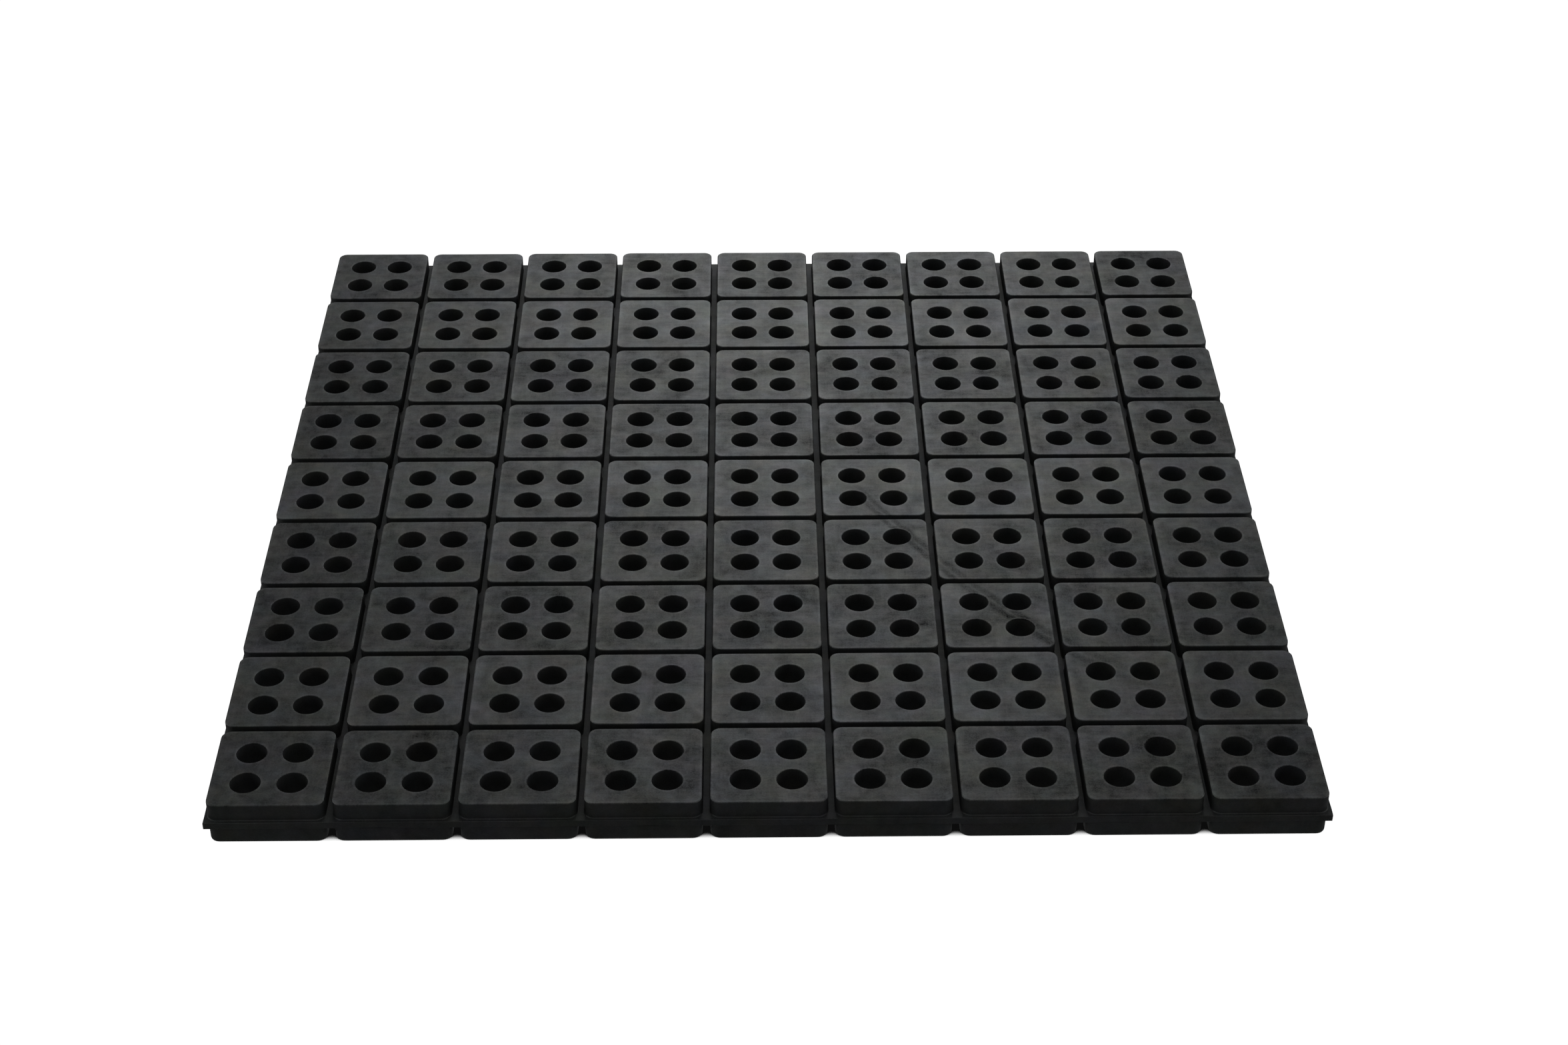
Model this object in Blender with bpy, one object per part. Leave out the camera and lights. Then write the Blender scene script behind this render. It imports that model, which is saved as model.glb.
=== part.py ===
"""Rubber waffle isolation pad, 18 x 18 x 3/4 in: 81 square blocks with four holes each, on one thin web.

Frame: metres, +Z up, origin at the centre of the face that rests on the floor.
+Y runs from the front row (row 1) to the back row (row 9), +X to the right.

The real sheet is moulded in one piece. It bends, and is cut, along the grooves between its rows,
so each row of nine blocks is one solid here, and the web in each groove between two rows is
another: a living hinge whose axis is the groove's centre line at half the pad's height.
"""

import math

import bmesh
import bpy
from mathutils import Matrix, Vector

# Pad and blocks
ROWS = 9                  # front to back
COLUMNS = 9               # blocks in a row
PITCH = 0.0508            # 2 in, block centre to block centre
BLOCK = 0.0476            # block side, about 1 7/8 in
CORNER_RADIUS = 0.0040    # a block's upright corners
CORNER_FLATS = 2          # flats round one corner
THICKNESS = 0.01905       # 3/4 in, face to face
HALF_WIDTH = PITCH * COLUMNS / 2      # pad centre to the web's side edge
HALF_DEPTH = PITCH * ROWS / 2         # pad centre to the web's front or back edge
GROOVE = PITCH - BLOCK                # gap between two blocks

# Web, at half height
WEB = 0.0032              # web thickness, about 1/8 in
MIDDLE = THICKNESS / 2
WEB_LOW = MIDDLE - WEB / 2
WEB_HIGH = MIDDLE + WEB / 2
SET_BACK = 0.0003         # a row's own web stops this short of its blocks' faces
HINGE_GAP = 0.0003        # hinge web to the row it is fixed to
HINGE_REACH = 0.0011      # hinge web past the hinge axis, clear of the row that swings

# Holes
HOLE_DIAMETER = 0.0127    # 1/2 in, right through a block
HOLE_SPACING = 0.01905    # 3/4 in, hole centre to hole centre
HOLE_SIDES = 10           # flats round a hole
HOLE_OVERRUN = 0.002      # cutter past the pad's top and bottom faces
# Centre to corner of a flat-sided hole with the area of the round one
HOLE_RADIUS = (HOLE_DIAMETER / 2) * math.sqrt(
    math.pi / (HOLE_SIDES / 2 * math.sin(2 * math.pi / HOLE_SIDES))
)


def row_y(row):
    """Centre of a row, numbered from 1 at the front."""
    return (row - (ROWS + 1) / 2) * PITCH


def column_x(column):
    """Centre of a column, numbered from 1 at the left."""
    return (column - (COLUMNS + 1) / 2) * PITCH


def clear_scene():
    for obj in list(bpy.data.objects):
        bpy.data.objects.remove(obj)


def rubber_material(name, colour, roughness):
    mat = bpy.data.materials.new(name)
    mat.use_nodes = True
    surface = mat.node_tree.nodes["Principled BSDF"]
    surface.inputs["Base Color"].default_value = (*colour, 1.0)
    surface.inputs["Roughness"].default_value = roughness
    surface.inputs["Metallic"].default_value = 0.0
    return mat


# Outlines: anticlockwise lists of (x, y) points

def rectangle(left, front, right, back):
    return [(left, front), (right, front), (right, back), (left, back)]


def block_outline(centre_x, centre_y):
    """A square with rounded corners, from its +X +Y corner."""
    inset = BLOCK / 2 - CORNER_RADIUS
    points = []
    for quarter, (side_x, side_y) in enumerate(((1, 1), (-1, 1), (-1, -1), (1, -1))):
        for step in range(CORNER_FLATS + 1):
            angle = (quarter + step / CORNER_FLATS) * math.pi / 2
            x = centre_x + side_x * inset + CORNER_RADIUS * math.cos(angle)
            y = centre_y + side_y * inset + CORNER_RADIUS * math.sin(angle)
            points.append((x, y))
    return points


def hole_outline(centre_x, centre_y):
    """A regular polygon with a flat, not a corner, facing +Y's neighbour corners evenly."""
    turn = 2 * math.pi / HOLE_SIDES
    angles = [(i + 0.5) * turn for i in range(HOLE_SIDES)]
    return [
        (centre_x + HOLE_RADIUS * math.cos(angle), centre_y + HOLE_RADIUS * math.sin(angle))
        for angle in angles
    ]


# Solids

def add_prism(bm, outline, low, high):
    """A closed upright prism on an outline."""
    bottom = bm.faces.new([bm.verts.new((x, y, low)) for x, y in reversed(outline)])
    made = bmesh.ops.extrude_face_region(bm, geom=[bottom])
    top = [item for item in made["geom"] if isinstance(item, bmesh.types.BMVert)]
    bmesh.ops.translate(bm, verts=top, vec=Vector((0.0, 0.0, high - low)))


def prism_object(name, outlines, low, high):
    """One object holding a prism for each outline, outside faces outwards."""
    bm = bmesh.new()
    for outline in outlines:
        add_prism(bm, outline, low, high)
    bmesh.ops.recalc_face_normals(bm, faces=bm.faces)
    mesh = bpy.data.meshes.new(name)
    bm.to_mesh(mesh)
    bm.free()
    obj = bpy.data.objects.new(name, mesh)
    bpy.context.scene.collection.objects.link(obj)
    return obj


def helper_object(name, outlines, low, high):
    """Prisms that only feed a boolean, hidden from the render."""
    obj = prism_object(name, outlines, low, high)
    obj.hide_render = True
    obj.display_type = "WIRE"
    return obj


def add_boolean(obj, operation, other):
    modifier = obj.modifiers.new(f"{operation.lower()}_{other.name}", "BOOLEAN")
    modifier.operation = operation
    modifier.solver = "EXACT"
    modifier.object = other


# Pieces

def row_blocks(row):
    outlines = [block_outline(column_x(c), row_y(row)) for c in range(1, COLUMNS + 1)]
    return helper_object(f"blocks_{row}", outlines, 0.0, THICKNESS)


def row_holes(row):
    """Cutters for the four holes in each block of a row."""
    offsets = (-HOLE_SPACING / 2, HOLE_SPACING / 2)
    outlines = [
        hole_outline(column_x(column) + offset_x, row_y(row) + offset_y)
        for column in range(1, COLUMNS + 1)
        for offset_x in offsets
        for offset_y in offsets
    ]
    return helper_object(f"holes_{row}", outlines, -HOLE_OVERRUN, THICKNESS + HOLE_OVERRUN)


def block_row(row, rubber):
    """Blocks on their own strip of web, which runs on to the pad's edges."""
    reach = BLOCK / 2 - SET_BACK
    front = -HALF_DEPTH if row == 1 else row_y(row) - reach
    back = HALF_DEPTH if row == ROWS else row_y(row) + reach
    outline = rectangle(-HALF_WIDTH, front, HALF_WIDTH, back)
    strip = prism_object(f"block_row_{row}", [outline], WEB_LOW, WEB_HIGH)
    add_boolean(strip, "UNION", row_blocks(row))
    add_boolean(strip, "DIFFERENCE", row_holes(row))
    strip.data.materials.append(rubber)


def hinge_web(row, rubber):
    """The web in the groove behind a row. It is fixed to the row nearer the pad's centre."""
    axis_y = (row_y(row) + row_y(row + 1)) / 2
    fixed_reach = GROOVE / 2 - HINGE_GAP
    centre_row = (ROWS + 1) // 2
    # Rows in front of the centre row hang from the row behind them, and the other way round.
    if row < centre_row:
        forward, backward = HINGE_REACH, fixed_reach
    else:
        forward, backward = fixed_reach, HINGE_REACH
    outline = rectangle(-HALF_WIDTH, axis_y - forward, HALF_WIDTH, axis_y + backward)
    web = prism_object(f"web_hinge_{row}_{row + 1}", [outline], WEB_LOW, WEB_HIGH)
    # Move the origin to the hinge axis and leave the shape in place.
    web.data.transform(Matrix.Translation((0.0, -axis_y, -MIDDLE)))
    web.location = (0.0, axis_y, MIDDLE)
    web.data.materials.append(rubber)


def main():
    clear_scene()
    block_rubber = rubber_material(
        "moulded_rubber", colour=(0.022, 0.023, 0.024), roughness=0.62
    )
    web_rubber = rubber_material("web_rubber", colour=(0.018, 0.019, 0.020), roughness=0.55)
    for row in range(1, ROWS + 1):
        block_row(row, block_rubber)
    for row in range(1, ROWS):
        hinge_web(row, web_rubber)


main()
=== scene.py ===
import math

import bpy
import numpy as np
from mathutils import Matrix, Vector
from mathutils.geometry import delaunay_2d_cdt


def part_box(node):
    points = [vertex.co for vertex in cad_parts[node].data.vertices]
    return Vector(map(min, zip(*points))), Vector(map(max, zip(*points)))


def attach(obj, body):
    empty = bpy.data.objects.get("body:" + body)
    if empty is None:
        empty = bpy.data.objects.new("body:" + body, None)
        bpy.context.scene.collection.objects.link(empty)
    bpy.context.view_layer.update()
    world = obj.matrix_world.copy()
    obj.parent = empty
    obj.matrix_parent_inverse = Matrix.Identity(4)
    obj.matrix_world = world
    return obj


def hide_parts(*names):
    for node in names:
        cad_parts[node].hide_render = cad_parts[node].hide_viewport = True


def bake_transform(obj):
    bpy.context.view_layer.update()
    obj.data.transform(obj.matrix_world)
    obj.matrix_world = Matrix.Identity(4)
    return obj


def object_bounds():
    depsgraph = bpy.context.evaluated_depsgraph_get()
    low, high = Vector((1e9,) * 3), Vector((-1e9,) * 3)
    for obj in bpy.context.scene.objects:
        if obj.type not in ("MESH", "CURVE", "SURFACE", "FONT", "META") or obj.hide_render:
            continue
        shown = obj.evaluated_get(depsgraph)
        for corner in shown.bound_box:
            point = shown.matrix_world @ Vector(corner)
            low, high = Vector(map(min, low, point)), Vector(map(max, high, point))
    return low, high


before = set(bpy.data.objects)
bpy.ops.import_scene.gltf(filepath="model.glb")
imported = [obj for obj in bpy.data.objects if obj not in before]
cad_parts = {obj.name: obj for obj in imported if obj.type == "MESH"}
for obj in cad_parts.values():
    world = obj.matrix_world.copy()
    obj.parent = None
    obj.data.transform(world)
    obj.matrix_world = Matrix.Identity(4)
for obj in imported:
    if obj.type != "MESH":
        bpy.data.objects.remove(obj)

cad_box = [list(corner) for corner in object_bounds()]

# ---------------------------------------------------------------------------
# Sizes. The frame gives the large ones; the rest are the moulding's details.
# ---------------------------------------------------------------------------
ROWS = 9
COLUMNS = 9
_lo5, _hi5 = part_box("block_row_5")
_lo6, _hi6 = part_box("block_row_6")
_wlo, _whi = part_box("web_hinge_4_5")
T = round(_hi5.z, 6)                                  # thickness
A = round((_hi5.y - _lo5.y) / 2, 6)                   # half a block's side
PITCH = round((_hi6.y + _lo6.y) / 2 - (_hi5.y + _lo5.y) / 2, 6)
EDGE = round(_hi5.x, 6)                               # sheet's edge, from its centre
WEB_LOW, WEB_HIGH = round(_wlo.z, 6), round(_whi.z, 6)

R_CORNER = 0.0040      # upright corners of a block
C = A - R_CORNER
HOLE_R = 0.00635
HOLE_AT = 0.009525
SOFT = 0.00035         # rounding of a block's top and bottom edges
HOLE_SOFT = 0.00025    # rounding of a hole's mouth
FILLET = 0.0005        # where a block meets the web
RIM_SOFT = 0.00030     # rounding of the sheet's trimmed edge
BEND = 0.0010          # the web bends within this far of a groove's centre line
TUCK = 0.0004          # a hinge web's hidden end, inside its row

SCUFF = (5.0, 33.0, -84.0, -113.0)   # its path across the sheet: a cubic, in mm
WALL_SHEEN = 0.34                     # specular level of walls and web; the faces have 0.42
SIDE_GLOW = 1.10                      # the room's light at the sheet's two sides
TOP_GLOW = 0.70                       # and straight above it

CORNER_STEPS = 6
SIDE_STEPS = 8
HOLE_STEPS = 36

rng = np.random.RandomState(23)


def row_y(row):
    return (row - (ROWS + 1) / 2) * PITCH


def column_x(column):
    return (column - (COLUMNS + 1) / 2) * PITCH


# Smooth fields over the sheet: a few long waves with fixed phases
_waves = [
    (2 * math.pi / length * math.cos(turn), 2 * math.pi / length * math.sin(turn), phase, share)
    for length, turn, phase, share in zip(
        rng.uniform(0.017, 0.045, 14),
        rng.uniform(0, math.pi, 14),
        rng.uniform(0, 2 * math.pi, 14),
        rng.uniform(0.4, 1.0, 14),
    )
]
_wave_sum = sum(w[3] for w in _waves)


def sag(x, y, amount=0.00007):
    """(height, slope x, slope y) of the moulding's slight unevenness."""
    h, gx, gy = np.zeros_like(x), np.zeros_like(x), np.zeros_like(x)
    for kx, ky, phase, share in _waves:
        angle = kx * x + ky * y + phase
        h += share * np.sin(angle)
        gx += share * kx * np.cos(angle)
        gy += share * ky * np.cos(angle)
    k = amount / _wave_sum
    return h * k, gx * k, gy * k


def wobble(s, side):
    """How far the hand-trimmed edge of the sheet falls short, along one side."""
    return 0.00015 * (
        1.3
        + 0.6 * np.sin(s * 61.0 + side * 1.7)
        + 0.4 * np.sin(s * 173.0 + side * 2.9 + 1.0)
        + 0.3 * np.sin(s * 397.0 + side * 0.7)
    )


# ---------------------------------------------------------------------------
# One cell of the sheet: a block, its four holes, and the web round it
# ---------------------------------------------------------------------------
def block_ring():
    """Points of a block's rounded outline about its own centre, their outward normals, and
    for each its side (0 to 3 from +X anticlockwise) and its place along the corner."""
    points, normals, place = [], [], []
    for q in range(4):
        turn = Matrix.Rotation(q * math.pi / 2, 2)
        for j in range(1, SIDE_STEPS):
            t = -C + 2 * C * j / SIDE_STEPS
            points.append(turn @ Vector((A, t)))
            normals.append(turn @ Vector((1, 0)))
            place.append((q, None, t))
        for k in range(CORNER_STEPS + 1):
            a = math.pi / 2 * k / CORNER_STEPS
            n = Vector((math.cos(a), math.sin(a)))
            points.append(turn @ (Vector((C, C)) + n * R_CORNER))
            normals.append(turn @ n)
            place.append((q, k, None))
    return np.array(points), np.array(normals), place


RING, RING_N, PLACE = block_ring()
N_RING = len(RING)
HALF_CORNER = CORNER_STEPS // 2


def border(reach):
    """Where each ring point lands on the cell's straight border, and the outward direction there.
    reach: how far the border lies from the cell's centre on its four sides."""
    points, outward = [], []
    for q, k, t in PLACE:
        d, e = reach[q], reach[(q + 1) % 4]
        if k is None:
            p, n = (d, t), (1.0, 0.0)
        elif k < HALF_CORNER:
            p, n = (d, C + (e - C) * k / HALF_CORNER), (1.0, 0.0)
        elif k == HALF_CORNER:
            p, n = (d, e), (1.0, 1.0)
        else:
            p, n = (C + (d - C) * (CORNER_STEPS - k) / HALF_CORNER, e), (0.0, 1.0)
        turn = Matrix.Rotation(q * math.pi / 2, 2)
        points.append(turn @ Vector(p))
        outward.append(turn @ Vector(n))
    return np.array(points), np.array(outward)


def face_triangles():
    """Triangles of a block's flat face: outline, hole mouths and a loose grid between them.
    The same ones serve every block, as its points move by only hundredths of a millimetre."""
    turn = 2 * math.pi / HOLE_STEPS
    outline = RING - RING_N * SOFT
    mouths = [
        np.array(
            [
                (
                    sx * HOLE_AT + (HOLE_R + HOLE_SOFT) * math.cos(i * turn),
                    sy * HOLE_AT + (HOLE_R + HOLE_SOFT) * math.sin(i * turn),
                )
                for i in range(HOLE_STEPS)
            ]
        )
        for sx in (-1, 1)
        for sy in (-1, 1)
    ]
    grid = []
    step = 0.0033
    n = int(A / step)
    for i in range(-n, n + 1):
        for j in range(-n, n + 1):
            x, y = i * step + (j % 2) * step / 2, j * step
            to_hole = math.hypot(abs(x) - HOLE_AT, abs(y) - HOLE_AT) - HOLE_R
            to_edge = A - max(abs(x), abs(y))
            if to_hole > 0.0012 and to_edge > 0.0020 and abs(x) + abs(y) < 2 * A - 0.006:
                grid.append((x, y))
    grid = np.array(grid)
    coords = np.concatenate([outline, *mouths, grid]) * 1000
    edges, start = [], 0
    for loop in (outline, *mouths):
        edges += [(start + i, start + (i + 1) % len(loop)) for i in range(len(loop))]
        start += len(loop)
    out, _, faces, origin, _, _ = delaunay_2d_cdt(
        [Vector(p) for p in coords], edges, [], 0, 1e-6
    )
    first = [o[0] for o in origin]
    made = []
    for f in faces:
        x, y = (sum(out[i][axis] for i in f) / 3000 for axis in (0, 1))
        if math.hypot(abs(x) - HOLE_AT, abs(y) - HOLE_AT) < HOLE_R + HOLE_SOFT * 0.9:
            continue
        t = [first[i] for i in f]
        p = [out[i] for i in f]
        area = (p[1] - p[0]).cross(p[2] - p[0])
        if abs(area) > 0.01:  # leaves out slivers between the points of a straight side
            made.append(t if area > 0 else t[::-1])
    return grid, np.array(made)


GRID, FACE_TRIANGLES = face_triangles()


class Skin:
    """Vertices with their true normals, and faces, gathered for one piece."""

    def __init__(self):
        self.points, self.normals, self.faces, self.flat = [], [], [], []
        self.count = 0

    def add(self, points, normals):
        """Returns the indices of these vertices."""
        self.points.append(np.asarray(points, float))
        self.normals.append(np.asarray(normals, float))
        at = np.arange(self.count, self.count + len(points))
        self.count += len(points)
        return at

    def face(self, indices, flat=False):
        self.faces.append([int(i) for i in indices])
        self.flat.append(flat)

    def band(self, a, b, closed=True, flat=False):
        """Quads from loop a to loop b, which run the same way."""
        n = len(a)
        for i in range(n if closed else n - 1):
            j = (i + 1) % n
            self.face((a[i], a[j], b[j], b[i]), flat)

    def object(self, name):
        points = np.concatenate(self.points)
        normals = np.concatenate(self.normals)
        _, first, index = np.unique(
            np.round(points / 2e-7).astype(np.int64), axis=0, return_index=True, return_inverse=True
        )
        index = index.reshape(-1)
        faces, loop_normals = [], []
        for f, flat in zip(self.faces, self.flat):
            g = [int(index[i]) for i in f]
            keep = [k for k in range(len(g)) if g[k] != g[k - 1]]
            if len(keep) < 3:
                continue
            faces.append([g[k] for k in keep])
            if flat:
                p = points[[f[k] for k in keep]]
                n = np.zeros(3)
                for i in range(len(p)):
                    n += np.cross(p[i - 1], p[i])
                n /= np.linalg.norm(n) or 1.0
                loop_normals += [tuple(n)] * len(keep)
            else:
                loop_normals += [tuple(normals[f[k]]) for k in keep]
        mesh = bpy.data.meshes.new(name)
        mesh.from_pydata([tuple(p) for p in points[first]], [], faces)
        mesh.polygons.foreach_set("use_smooth", [True] * len(mesh.polygons))
        mesh.normals_split_custom_set(loop_normals)
        mesh.update()
        obj = bpy.data.objects.new(name, mesh)
        bpy.context.scene.collection.objects.link(obj)
        return obj


def with_height(xy, z):
    return np.column_stack([xy, np.full(len(xy), z) if np.isscalar(z) else z])


def unit(v):
    return v / np.linalg.norm(v, axis=1)[:, None]


def add_cell(skin, row, column):
    """A block and its share of web. x neighbours weld to it; a groove's web is its own piece."""
    centre = np.array([column_x(column), row_y(row)])
    kinds = [
        "rim" if column == COLUMNS else "joined",
        "rim" if row == ROWS else "end",
        "rim" if column == 1 else "joined",
        "rim" if row == 1 else "end",
    ]
    half = PITCH / 2
    reach = [
        {"rim": EDGE - PITCH * (COLUMNS - 1) / 2 - RIM_SOFT, "joined": half, "end": half - BEND}[k]
        for k in kinds
    ]
    edge_points, edge_out = border(reach)
    edge_points = edge_points + centre

    shift = rng.uniform(-0.00007, 0.00007, 2)
    drop = rng.uniform(0.0, 0.00009, 2)
    tilt = rng.uniform(-0.0028, 0.0028, (2, 2))
    hole_shift = rng.uniform(-0.00007, 0.00007, (4, 2))

    def face_height(xy, side):
        """Height and normal on the top (side 1) or bottom (side -1) face."""
        h, gx, gy = sag(xy[:, 0], xy[:, 1] + (0.0 if side > 0 else 0.7))
        k = 0 if side > 0 else 1
        local = xy - centre
        h = h - 0.00007 - drop[k] + local @ tilt[k] * 0.6
        gx, gy = gx + tilt[k][0] * 0.6, gy + tilt[k][1] * 0.6
        h = np.minimum(h, 0.0)
        return h, np.column_stack([-gx, -gy, np.ones(len(xy))])

    outer = RING + shift + centre
    for side in (1, -1):

        def to_z(height_above_middle):
            return T / 2 + side * height_above_middle

        def put(xy, height, normal, follow=1.0):
            """normal and height are as if on the top half."""
            z = np.full(len(xy), height, float)
            if follow:
                h, _ = face_height(xy, side)
                z = z + h * follow
            n = np.array(normal, float)
            n[:, 2] *= side
            return skin.add(with_height(xy, T / 2 + side * z), unit(n))

        def join(a, b):
            if side > 0:
                skin.band(b, a)
            else:
                skin.band(a, b)

        flat_normals = lambda xy: face_height(xy, side)[1]
        top = T / 2
        # outline, down to the web
        xy = outer - RING_N * SOFT
        ring = put(xy, top, flat_normals(xy))
        outline_top = ring
        for degrees in (60, 30, 0):
            a = math.radians(degrees)
            new = put(
                outer + RING_N * (SOFT * math.cos(a) - SOFT),
                top - SOFT + SOFT * math.sin(a),
                np.column_stack([RING_N * math.cos(a), np.full(N_RING, math.sin(a))]),
            )
            join(ring, new)
            ring = new
        web = WEB_HIGH - T / 2
        for degrees in (180, 210, 240, 270):
            a = math.radians(degrees)
            new = put(
                outer + RING_N * (FILLET + FILLET * math.cos(a)),
                web + FILLET + FILLET * math.sin(a),
                np.column_stack([-RING_N * math.cos(a), np.full(N_RING, -math.sin(a))]),
                follow=0.0,
            )
            join(ring, new)
            ring = new
        border_ring = put(edge_points, web, np.tile((0.0, 0.0, 1.0), (N_RING, 1)), follow=0.0)
        join(ring, border_ring)
        if side > 0:
            border_top = border_ring
        else:
            border_bottom = border_ring

        # hole mouths
        mouths = []
        for h in range(4):
            sx, sy = ((-1, -1), (-1, 1), (1, -1), (1, 1))[h]
            mid = centre + shift + hole_shift[h] + (sx * HOLE_AT, sy * HOLE_AT)
            turn = np.arange(HOLE_STEPS) * 2 * math.pi / HOLE_STEPS
            away = np.column_stack([np.cos(turn), np.sin(turn)])
            xy = mid + away * (HOLE_R + HOLE_SOFT)
            loop = put(xy, top, flat_normals(xy))
            mouths.append(loop)
            for degrees in (60, 30, 0):
                a = math.radians(degrees)
                new = put(
                    mid + away * (HOLE_R + HOLE_SOFT - HOLE_SOFT * math.cos(a)),
                    top - HOLE_SOFT + HOLE_SOFT * math.sin(a),
                    np.column_stack([-away * math.cos(a), np.full(HOLE_STEPS, math.sin(a))]),
                )
                join(new, loop)
                loop = new
            if side > 0:
                if h == 0:
                    walls = []
                walls.append(loop)
            else:
                skin.band(walls[h], loop)
        xy = GRID + centre + shift
        grid = put(xy, top, flat_normals(xy))
        lookup = np.concatenate([outline_top, *mouths, grid])
        for t in FACE_TRIANGLES:
            f = lookup[t]
            skin.face(f if side > 0 else f[::-1])

    # what closes the web between its two faces, side by side of the cell
    for q in range(4):
        run = [
            i
            for i, (pq, k, _) in enumerate(PLACE)
            if (pq == (q - 1) % 4 and k is not None and k >= HALF_CORNER)
        ] + [
            i
            for i, (pq, k, _) in enumerate(PLACE)
            if pq == q and (k is None or k <= HALF_CORNER)
        ]
        if kinds[q] == "joined":
            continue
        upper, lower = border_top[run], border_bottom[run]
        if kinds[q] == "end":
            skin.band(lower, upper, closed=False, flat=True)
            continue
        outward = np.array([(1, 0), (0, 1), (-1, 0), (0, -1)][q], float)
        along = edge_points[run] @ np.array([-outward[1], outward[0]])
        short = wobble(along, q)
        direction = edge_out[run].copy()
        # at a corner of the sheet two rims meet on the diagonal; elsewhere the rim runs straight
        ends = {0: kinds[(q - 1) % 4] == "rim", len(run) - 1: kinds[(q + 1) % 4] == "rim"}
        for i, both in ends.items():
            direction[i] = edge_out[run[i]] if both else outward
            if both:
                short[i] = 0.00016
        previous = upper
        loops = [upper]
        for reach_out, height in rim_profile():
            xy = edge_points[run] + direction * (reach_out[0] - short * reach_out[1])[:, None]
            n = np.column_stack(
                [unit(direction) * height[1], np.full(len(run), height[2])]
            )
            new = skin.add(with_height(xy, T / 2 + height[0]), unit(n))
            skin.band(new, previous, closed=False)
            previous = new
            loops.append(new)
        skin.band(lower, previous, closed=False)
        loops.append(lower)
        # the rim's own section, where the sheet is cut off square by a groove's web
        for i, both in ends.items():
            if kinds[(q - 1) % 4 if i == 0 else (q + 1) % 4] == "end":
                section = [int(loop[i]) for loop in loops]
                skin.face(section if i == 0 else section[::-1], flat=True)


def rim_profile():
    """Steps round the sheet's edge, from its upper face to its lower:
    ((reach, share of the wobble), (height from the middle, normal outwards, normal up))."""
    t = (WEB_HIGH - WEB_LOW) / 2
    steps = []
    for degrees in (60, 30, 0):
        a = math.radians(degrees)
        steps.append(
            (
                (RIM_SOFT * math.cos(a), math.cos(a)),
                (t - RIM_SOFT + RIM_SOFT * math.sin(a), math.cos(a), math.sin(a)),
            )
        )
    return steps + [((r, s), (-h, n, -u)) for (r, s), (h, n, u) in reversed(steps)]


def row_skin(row):
    skin = Skin()
    for column in range(1, COLUMNS + 1):
        add_cell(skin, row, column)
    return skin.object(f"row_skin_{row}")


def hinge_skin(first):
    """The web in one groove, long and thin, with its two edges hidden inside the rows."""
    axis = (row_y(first) + row_y(first + 1)) / 2
    under = 0.00005
    stations = (
        [(-BEND - TUCK, under), (-BEND - 0.00003, under)]
        + [(BEND * s, 0.0) for s in (-1, -0.75, -0.5, -0.25, 0, 0.25, 0.5, 0.75, 1)]
        + [(BEND + 0.00003, under), (BEND + TUCK, under)]
    )
    inner = EDGE - RIM_SOFT
    xs = np.concatenate([[-inner + 0.0004], np.linspace(-inner + 0.01, inner - 0.01, 21), [inner - 0.0004]])
    skin = Skin()
    loops = []
    t = (WEB_HIGH - WEB_LOW) / 2
    for offset, lower_by in stations:
        y = axis + offset
        section = []
        # along the upper face to the right, round the right edge, back, and round the left edge
        section += [(x, t) for x in [-inner, *xs, inner]]
        for (r, s), (h, _, _) in rim_profile():
            section.append((inner + r - wobble(np.array(y), 0) * s, h))
        section += [(x, -t) for x in [inner, *xs[::-1], -inner]]
        for (r, s), (h, _, _) in reversed(rim_profile()):
            section.append((-inner - r + wobble(np.array(-y), 2) * s, h))
        scale = (t - lower_by) / t
        points = [(x, y, T / 2 + h * scale) for x, h in section]
        loops.append(skin.add(points, [(0, 0, 1)] * len(points)))
    for a, b in zip(loops, loops[1:]):
        skin.band(a, b)
    skin.face(loops[0][::-1])
    skin.face(loops[-1])
    obj = skin.object(f"hinge_skin_{first}_{first + 1}")
    mesh = obj.data
    mesh.attributes.remove(mesh.attributes["custom_normal"])
    mesh.set_sharp_from_angle(angle=math.radians(50))
    return obj, axis


# ---------------------------------------------------------------------------
# Materials
# ---------------------------------------------------------------------------
class Nodes:
    """Short forms for building a node tree."""

    def __init__(self, tree):
        self.tree = tree

    def new(self, kind, **settings):
        node = self.tree.nodes.new(kind)
        for key, value in settings.items():
            setattr(node, key, value)
        return node

    def link(self, a, b):
        self.tree.links.new(a, b)

    def feed(self, socket, value):
        if isinstance(value, (int, float)):
            socket.default_value = value
        elif isinstance(value, tuple):
            socket.default_value = value
        else:
            self.link(value, socket)

    def math(self, operation, a, b=None, c=None, clamp=False):
        node = self.new("ShaderNodeMath", operation=operation, use_clamp=clamp)
        for socket, value in zip(node.inputs, (a, b, c)):
            if value is not None:
                self.feed(socket, value)
        return node.outputs[0]

    def step(self, value, low, high, out_low=0.0, out_high=1.0):
        """Smooth change from out_low to out_high as value goes from low to high."""
        node = self.new("ShaderNodeMapRange", interpolation_type="SMOOTHSTEP", clamp=True)
        for name, v in (
            ("Value", value),
            ("From Min", low),
            ("From Max", high),
            ("To Min", out_low),
            ("To Max", out_high),
        ):
            self.feed(node.inputs[name], v)
        return node.outputs["Result"]

    def noise(self, vector, scale, detail=3.0, roughness=0.55, distortion=0.0):
        node = self.new("ShaderNodeTexNoise")
        self.link(vector, node.inputs["Vector"])
        node.inputs["Scale"].default_value = scale
        node.inputs["Detail"].default_value = detail
        node.inputs["Roughness"].default_value = roughness
        node.inputs["Distortion"].default_value = distortion
        return node.outputs["Fac"]

    def stretched(self, vector, x, y, z):
        node = self.new("ShaderNodeVectorMath", operation="MULTIPLY")
        self.link(vector, node.inputs[0])
        node.inputs[1].default_value = (x, y, z)
        return node.outputs[0]


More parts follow.
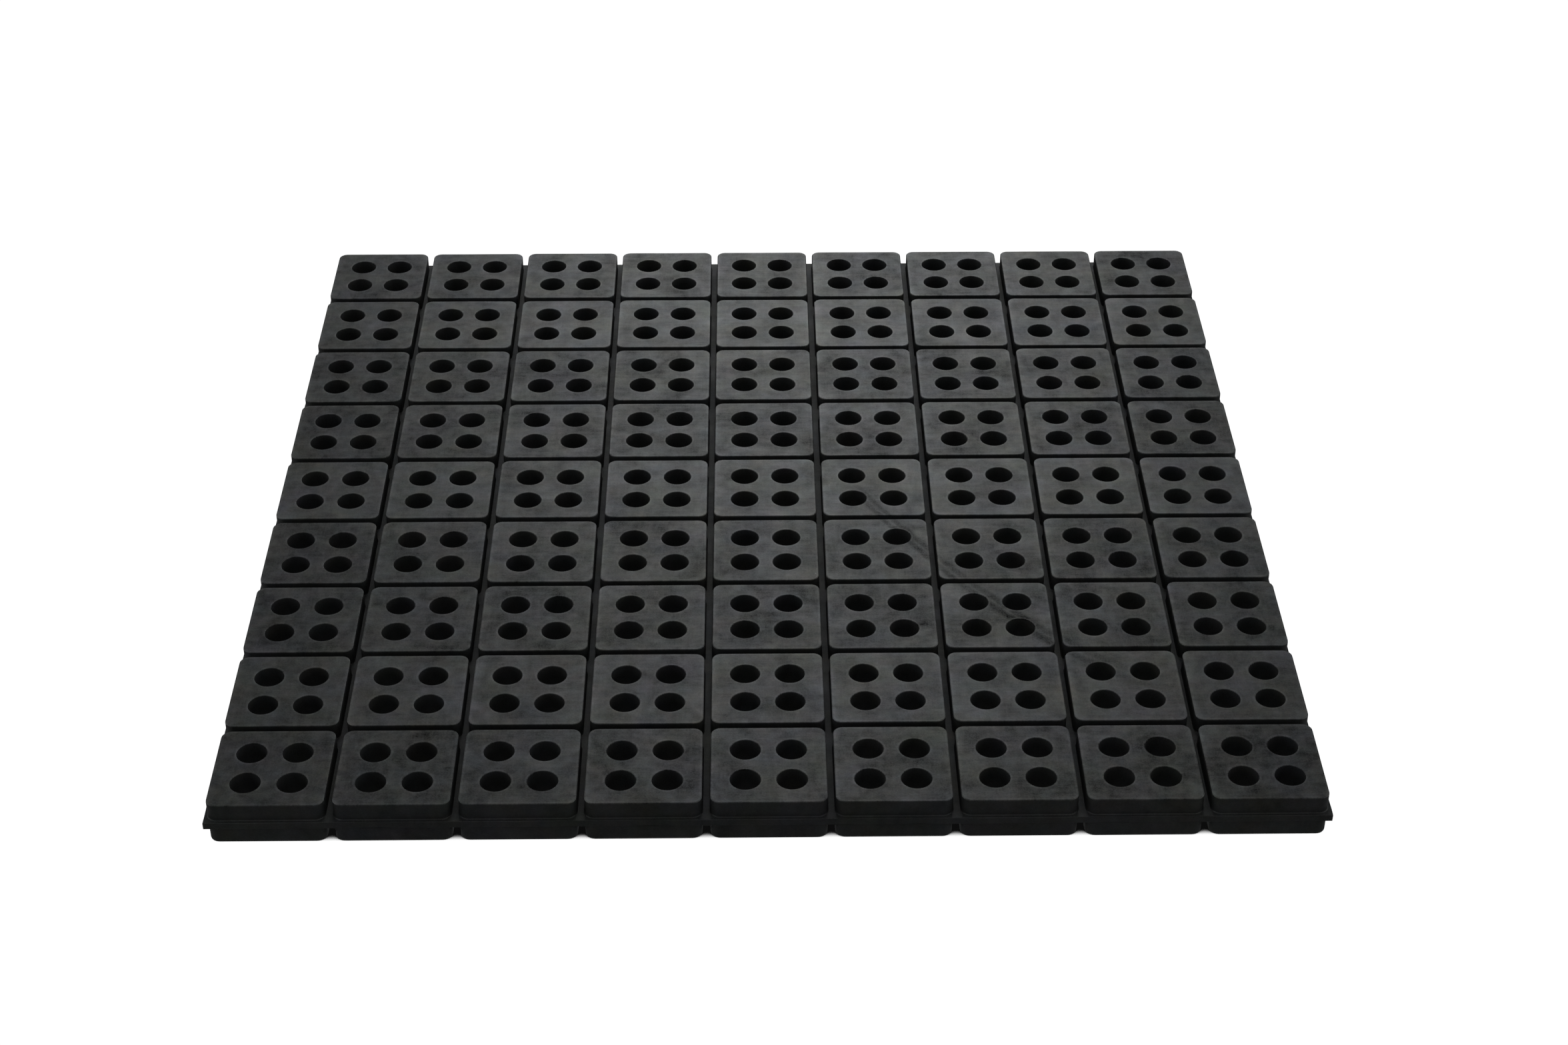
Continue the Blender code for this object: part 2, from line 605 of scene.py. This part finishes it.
def rubber_material(name):
    """Black moulded rubber. Everything is placed by the sheet's own coordinates, in millimetres."""
    mat = bpy.data.materials.new(name)
    mat.use_nodes = True
    tree = mat.node_tree
    n = Nodes(tree)
    surface = tree.nodes["Principled BSDF"]
    coords = n.new("ShaderNodeTexCoord").outputs["Object"]
    mm = n.stretched(coords, 1000, 1000, 1000)
    split = n.new("ShaderNodeSeparateXYZ")
    n.link(mm, split.inputs[0])
    x, y, z = split.outputs

    # where this point lies in its cell
    half = PITCH * 500
    u = n.math("ABSOLUTE", n.math("WRAP", x, half, -half))
    v = n.math("ABSOLUTE", n.math("WRAP", y, half, -half))
    qx, qy = n.math("SUBTRACT", u, C * 1000), n.math("SUBTRACT", v, C * 1000)
    out_x, out_y = n.math("MAXIMUM", qx, 0.0), n.math("MAXIMUM", qy, 0.0)
    outside = n.math(
        "SQRT", n.math("ADD", n.math("MULTIPLY", out_x, out_x), n.math("MULTIPLY", out_y, out_y))
    )
    inside = n.math("MINIMUM", n.math("MAXIMUM", qx, qy), 0.0)
    to_edge = n.math(
        "SUBTRACT", R_CORNER * 1000, n.math("ADD", outside, inside)
    )  # depth inside the block's outline
    hx, hy = n.math("SUBTRACT", u, HOLE_AT * 1000), n.math("SUBTRACT", v, HOLE_AT * 1000)
    to_hole = n.math(
        "SUBTRACT",
        n.math("SQRT", n.math("ADD", n.math("MULTIPLY", hx, hx), n.math("MULTIPLY", hy, hy))),
        HOLE_R * 1000,
    )
    from_middle = n.math("ABSOLUTE", n.math("SUBTRACT", z, T * 500))
    face = n.step(from_middle, T * 500 - 0.9, T * 500 - 0.25)  # 1 on the flat faces of the blocks

    # cloudy, streaked haze of a moulded and handled face
    cloud = n.noise(mm, 1 / 19, 4.0, 0.58, 0.4)
    cloud_small = n.noise(mm, 1 / 5.0, 3.0, 0.6, 0.2)
    streak_x = n.noise(n.stretched(mm, 1 / 15, 1 / 1.5, 1 / 9), 1.0, 3.0, 0.6)
    streak_y = n.noise(n.stretched(mm, 1 / 1.3, 1 / 13, 1 / 9), 1.0, 2.0, 0.55)
    grain = n.noise(mm, 1 / 0.7, 2.0, 0.6)

    def signed(value, amount):
        return n.math("MULTIPLY", n.math("SUBTRACT", value, 0.5), amount)

    # each block took the mould a little differently
    index = n.new("ShaderNodeCombineXYZ")
    n.link(n.math("FLOOR", n.math("DIVIDE", n.math("ADD", x, half), 2 * half)), index.inputs[0])
    n.link(n.math("FLOOR", n.math("DIVIDE", n.math("ADD", y, half), 2 * half)), index.inputs[1])
    index.inputs[2].default_value = 3.7
    white = n.new("ShaderNodeTexWhiteNoise", noise_dimensions="3D")
    n.link(index.outputs[0], white.inputs["Vector"])
    block_tone = signed(white.outputs["Value"], 0.16)
    # every third row came out paler
    off_row = n.math("ABSOLUTE", n.math("WRAP", n.math("FLOOR", n.math("DIVIDE", n.math("ADD", y, half), 2 * half)), 1.5, -1.5))
    row_tone = n.math("MULTIPLY", n.math("SUBTRACT", 1.0, n.math("MINIMUM", off_row, 1.0)), 0.28)

    haze_and_painted_light = n.math("ADD", 1.0, signed(cloud, 2.0))
    for part in (
        signed(cloud_small, 1.55),
        signed(streak_x, 0.60),
        signed(streak_y, 0.40),
        signed(grain, 1.15),
        block_tone,
        n.math("MULTIPLY", row_tone, face),
    ):
        haze_and_painted_light = n.math("ADD", haze_and_painted_light, part)
    # the walls and the web show less of it
    haze_and_painted_light = n.math("MULTIPLY_ADD", n.math("SUBTRACT", haze_and_painted_light, 1.0), n.math("MULTIPLY_ADD", face, 0.6, 0.4), 1.0)

    # painted highlight: paler along the rounded edges, on the left side of each block, near the corners and round
    # the hole mouths, where they catch light
    to_left = n.math("ADD", n.math("WRAP", x, half, -half), A * 1000)
    line = n.step(n.math("ABSOLUTE", n.math("SUBTRACT", to_edge, 0.75)), 0.1, 0.65, 0.22, 0.0)
    edge_highlight = n.math("ADD", line, n.step(to_left, 0.6, 4.0, 0.22, 0.0))
    wide_edge_highlight = n.step(to_edge, 0.4, 5.5, 0.05, 0.0)
    corner_highlight = n.step(n.math("ADD", u, v), 2 * A * 1000 - 12, 2 * A * 1000 - 2.0, 0.0, 0.10)
    hole_mouth_highlight = n.step(to_hole, 0.3, 1.3, 0.40, 0.0)
    painted_highlight = n.math("ADD", n.math("ADD", edge_highlight, wide_edge_highlight), n.math("ADD", corner_highlight, hole_mouth_highlight))
    painted_highlight = n.math("MULTIPLY", painted_highlight, n.step(cloud_small, 0.3, 0.65, 0.55, 1.25))
    haze_and_painted_light = n.math("ADD", haze_and_painted_light, n.math("MULTIPLY", painted_highlight, face))

    # a long double scuff where something was dragged across the upper face
    t = n.math("DIVIDE", n.math("SUBTRACT", x, 115.0), 75.0)
    path = SCUFF[0]
    for k in SCUFF[1:]:
        path = n.math("MULTIPLY_ADD", path, t, k)
    aside = n.math("MULTIPLY", n.math("SUBTRACT", y, path), 0.6)
    aside = n.math("ADD", aside, signed(cloud, 3.0))
    first_line = n.step(n.math("ABSOLUTE", aside), 0.5, 2.8, 1.0, 0.0)
    second_line = n.step(n.math("ABSOLUTE", n.math("SUBTRACT", aside, 4.4)), 0.5, 2.6, 0.85, 0.0)
    smear = n.step(n.math("ABSOLUTE", n.math("SUBTRACT", aside, 2.2)), 1.0, 7.0, 0.30, 0.0)
    scuff = n.math("ADD", n.math("MAXIMUM", first_line, second_line), smear)
    scuff = n.math("MULTIPLY", scuff, n.math("MULTIPLY", n.step(x, 34.0, 52.0), n.step(x, 120.0, 198.0, 1.0, 0.0)))
    scuff = n.math("MULTIPLY", scuff, n.step(cloud_small, 0.30, 0.60, 0.35, 1.0))
    scuff = n.math("MULTIPLY", scuff, n.math("GREATER_THAN", z, T * 500))
    haze_and_painted_light = n.math("SUBTRACT", haze_and_painted_light, n.math("MULTIPLY", n.math("MULTIPLY", scuff, face), 0.66))
    # painted shade: darker at the sharp mouth of each hole, which catches less light
    haze_and_painted_light = n.math("SUBTRACT", haze_and_painted_light, n.math("MULTIPLY", n.step(to_hole, 0.05, 0.55, 0.45, 0.0), face))
    haze_and_painted_light = n.math("MAXIMUM", haze_and_painted_light, 0.05)

    base_with_painted_wall_shade = n.new("ShaderNodeMix", data_type="RGBA")
    base_with_painted_wall_shade.inputs["A"].default_value = (0.0112, 0.0117, 0.0119, 1)   # painted shade: walls, web and the inside of holes, darker than the flat faces
    base_with_painted_wall_shade.inputs["B"].default_value = (0.0138, 0.0144, 0.0147, 1)   # flat faces
    n.link(face, base_with_painted_wall_shade.inputs["Factor"])
    tint = n.new("ShaderNodeVectorMath", operation="SCALE")
    n.link(base_with_painted_wall_shade.outputs["Result"], tint.inputs[0])
    n.link(haze_and_painted_light, tint.inputs["Scale"])

    # the black leans a touch blue here and a touch warm there, in its colour and in its sheen
    elsewhere = n.new("ShaderNodeVectorMath", operation="ADD")
    n.link(mm, elsewhere.inputs[0])
    elsewhere.inputs[1].default_value = (613.0, -427.0, 251.0)
    cast = n.new("ShaderNodeCombineXYZ")
    n.link(n.math("ADD", 1.0, signed(n.noise(mm, 1 / 13, 5.0, 0.72), 0.48)), cast.inputs[0])
    cast.inputs[1].default_value = 1.0
    n.link(
        n.math("ADD", 0.99, signed(n.noise(elsewhere.outputs[0], 1 / 24, 6.0, 0.72), 0.76)),
        cast.inputs[2],
    )
    n.link(cast.outputs[0], surface.inputs["Specular Tint"])
    leaning = n.new("ShaderNodeVectorMath", operation="MULTIPLY")
    n.link(tint.outputs[0], leaning.inputs[0])
    n.link(cast.outputs[0], leaning.inputs[1])

    # a few dust specks
    dust = n.new("ShaderNodeTexVoronoi", feature="F1", voronoi_dimensions="3D")
    n.link(mm, dust.inputs["Vector"])
    dust.inputs["Scale"].default_value = 1 / 7.5
    pick = n.new("ShaderNodeSeparateColor")
    n.link(dust.outputs["Color"], pick.inputs[0])
    speck_size = n.step(pick.outputs[1], 0.0, 1.0, 0.012, 0.040)
    speck = n.math(
        "MULTIPLY",
        n.math("GREATER_THAN", pick.outputs[0], 0.955),
        n.math("LESS_THAN", dust.outputs["Distance"], speck_size),
    )
    dusted = n.new("ShaderNodeMix", data_type="RGBA")
    n.link(n.math("MULTIPLY", speck, 0.5), dusted.inputs["Factor"])
    n.link(leaning.outputs[0], dusted.inputs["A"])
    dusted.inputs["B"].default_value = (0.30, 0.29, 0.27, 1)
    n.link(dusted.outputs["Result"], surface.inputs["Base Color"])

    rough = n.math("ADD", 0.43, signed(cloud, -0.10))
    rough = n.math("ADD", rough, signed(streak_x, -0.05))
    rough = n.math("ADD", rough, signed(cloud_small, 0.05))
    rough = n.math("ADD", rough, n.math("MULTIPLY", n.math("SUBTRACT", 1.0, face), 0.12))
    n.link(rough, surface.inputs["Roughness"])
    surface.inputs["Metallic"].default_value = 0.0
    # the haze is on the skin of the rubber, so it dulls and brightens the sheen as well, and so do the painted
    # highlights and shade added to it
    sheen = n.math("MULTIPLY", haze_and_painted_light, n.math("MULTIPLY_ADD", face, 0.42 - WALL_SHEEN, WALL_SHEEN))
    n.link(sheen, surface.inputs["Specular IOR Level"])

    # leathery micro-texture and faint mould marks
    relief = n.math("ADD", n.math("MULTIPLY", grain, 0.5), n.math("MULTIPLY", cloud_small, 1.2))
    relief = n.math("ADD", relief, n.math("MULTIPLY", streak_x, 0.35))
    bump = n.new("ShaderNodeBump")
    bump.inputs["Strength"].default_value = 0.5
    bump.inputs["Distance"].default_value = 0.00006
    n.link(relief, bump.inputs["Height"])
    n.link(bump.outputs[0], surface.inputs["Normal"])
    return mat


block_rubber = rubber_material("block_rubber_look")
web_rubber = rubber_material("web_rubber_look")

# ---------------------------------------------------------------------------
# The pieces
# ---------------------------------------------------------------------------
for row in range(1, ROWS + 1):
    piece = row_skin(row)
    piece.data.materials.append(block_rubber)
    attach(piece, f"row_{row}")
    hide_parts(f"block_row_{row}")

for first in range(1, ROWS):
    piece, axis = hinge_skin(first)
    piece.data.materials.append(web_rubber)
    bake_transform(piece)
    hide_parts(f"web_hinge_{first}_{first + 1}")

# ---------------------------------------------------------------------------
# Floor, light, camera
# ---------------------------------------------------------------------------
scene = bpy.context.scene
scene.view_settings.view_transform = "Standard"
scene.view_settings.look = "None"

floor_mesh = bpy.data.meshes.new("floor")
floor_mesh.from_pydata(
    [(-6, -6, -0.0001), (6, -6, -0.0001), (6, 6, -0.0001), (-6, 6, -0.0001)], [], [(0, 1, 2, 3)]
)
floor = bpy.data.objects.new("floor", floor_mesh)
scene.collection.objects.link(floor)
floor_mat = bpy.data.materials.new("floor_white")
floor_mat.use_nodes = True
tree = floor_mat.node_tree
tree.nodes.clear()
n = Nodes(tree)
# painted shadow: the floor is darkened by ambient occlusion, not by the lamps
near = n.new("ShaderNodeAmbientOcclusion", samples=40, only_local=False)
near.inputs["Distance"].default_value = 0.03
shade = n.step(near.outputs["AO"], 0.20, 0.44, 0.0035, 1.0)
painted_shadow = n.new("ShaderNodeBsdfTransparent")   # white, with a painted shadow where the sheet is near it
n.link(shade, painted_shadow.inputs["Color"])
clear = n.new("ShaderNodeBsdfTransparent")  # out of the sheet's reach, which saves time
ground = n.new("ShaderNodeSeparateXYZ")
n.link(n.new("ShaderNodeNewGeometry").outputs["Position"], ground.inputs[0])
away = n.math(
    "MAXIMUM", n.math("ABSOLUTE", ground.outputs[0]), n.math("ABSOLUTE", ground.outputs[1])
)
parted = n.new("ShaderNodeMixShader")
n.link(n.math("GREATER_THAN", away, max(cad_box[1][:2]) + 0.031), parted.inputs[0])
n.link(painted_shadow.outputs[0], parted.inputs[1])
n.link(clear.outputs[0], parted.inputs[2])
out = n.new("ShaderNodeOutputMaterial")
n.link(parted.outputs[0], out.inputs["Surface"])
floor_mesh.materials.append(floor_mat)
floor.visible_diffuse = False
floor.visible_glossy = False
floor.visible_transmission = False
floor.visible_volume_scatter = False
floor.visible_shadow = False

world = bpy.data.worlds.new("studio")
scene.world = world
world.use_nodes = True
tree = world.node_tree
tree.nodes.clear()
n = Nodes(tree)
seen = n.new("ShaderNodeBackground")
seen.inputs["Color"].default_value = (1, 1, 1, 1)
seen.inputs["Strength"].default_value = 1.04
room = n.new("ShaderNodeBackground")
direction = n.new("ShaderNodeSeparateXYZ")
n.link(n.new("ShaderNodeTexCoord").outputs["Generated"], direction.inputs[0])
# dim behind and in front of the sheet as the camera sees it, brighter low down at its sides
# and overhead
to_x, to_y, to_z = direction.outputs
level = n.math(
    "SQRT", n.math("ADD", n.math("MULTIPLY", to_x, to_x), n.math("MULTIPLY", to_y, to_y))
)
turned = n.math("DIVIDE", to_y, n.math("MAXIMUM", level, 0.001))
aside = n.math("MULTIPLY", n.step(turned, 0.60, 0.85, 1.0, 0.0), n.step(turned, -0.98, -0.35, 0.1, 1.0))
low = n.math("MULTIPLY", n.step(to_z, -0.03, 0.06), n.step(to_z, 0.50, 0.85, 1.0, 0.15))
glow_at = n.math("MULTIPLY", n.math("MULTIPLY", aside, low), SIDE_GLOW)
glow_at = n.math("ADD", glow_at, n.step(to_z, 0.88, 0.96, 0.0, TOP_GLOW))
n.link(n.math("ADD", glow_at, n.step(to_z, -0.2, 0.3, 0.15, 0.12)), room.inputs["Strength"])
room.inputs["Color"].default_value = (0.98, 1, 1, 1)
choose = n.new("ShaderNodeMixShader")
n.link(n.new("ShaderNodeLightPath").outputs["Is Camera Ray"], choose.inputs[0])
n.link(room.outputs[0], choose.inputs[1])
n.link(seen.outputs[0], choose.inputs[2])
out = n.new("ShaderNodeOutputWorld")
n.link(choose.outputs[0], out.inputs["Surface"])


def softbox(name, place, aim, width, height, watts):
    light = bpy.data.lights.new(name, "AREA")
    light.shape = "RECTANGLE"
    light.size, light.size_y = width, height
    light.energy = watts
    light.color = (0.975, 1.0, 1.0)
    obj = bpy.data.objects.new(name, light)
    scene.collection.objects.link(obj)
    obj.location = place
    obj.rotation_mode = "QUATERNION"
    obj.rotation_quaternion = (Vector(aim) - Vector(place)).to_track_quat("-Z", "Y")
    obj.visible_camera = False
    return obj


softbox("back_softbox", (0.083, 1.85, 1.02), (0.0, 0.05, 0.0), 0.80, 0.50, 5.2)

camera_data = bpy.data.cameras.new("camera")
camera_data.sensor_fit = "HORIZONTAL"
camera_data.sensor_width = 36.0
camera_data.lens = 62.437
camera_data.clip_start, camera_data.clip_end = 0.05, 50.0
camera = bpy.data.objects.new("camera", camera_data)
scene.collection.objects.link(camera)
right = Vector((0.99991054, -0.01326951, 0.00168101))
up = Vector((0.00617338, 0.56933212, 0.82208444))
back = Vector((-0.01186571, -0.82200052, 0.56936310))
place = Vector((-0.006286, -1.063169, 0.716040 + T))
camera.matrix_world = Matrix(
    (
        (right.x, up.x, back.x, place.x),
        (right.y, up.y, back.y, place.y),
        (right.z, up.z, back.z, place.z),
        (0, 0, 0, 1),
    )
)
scene.camera = camera
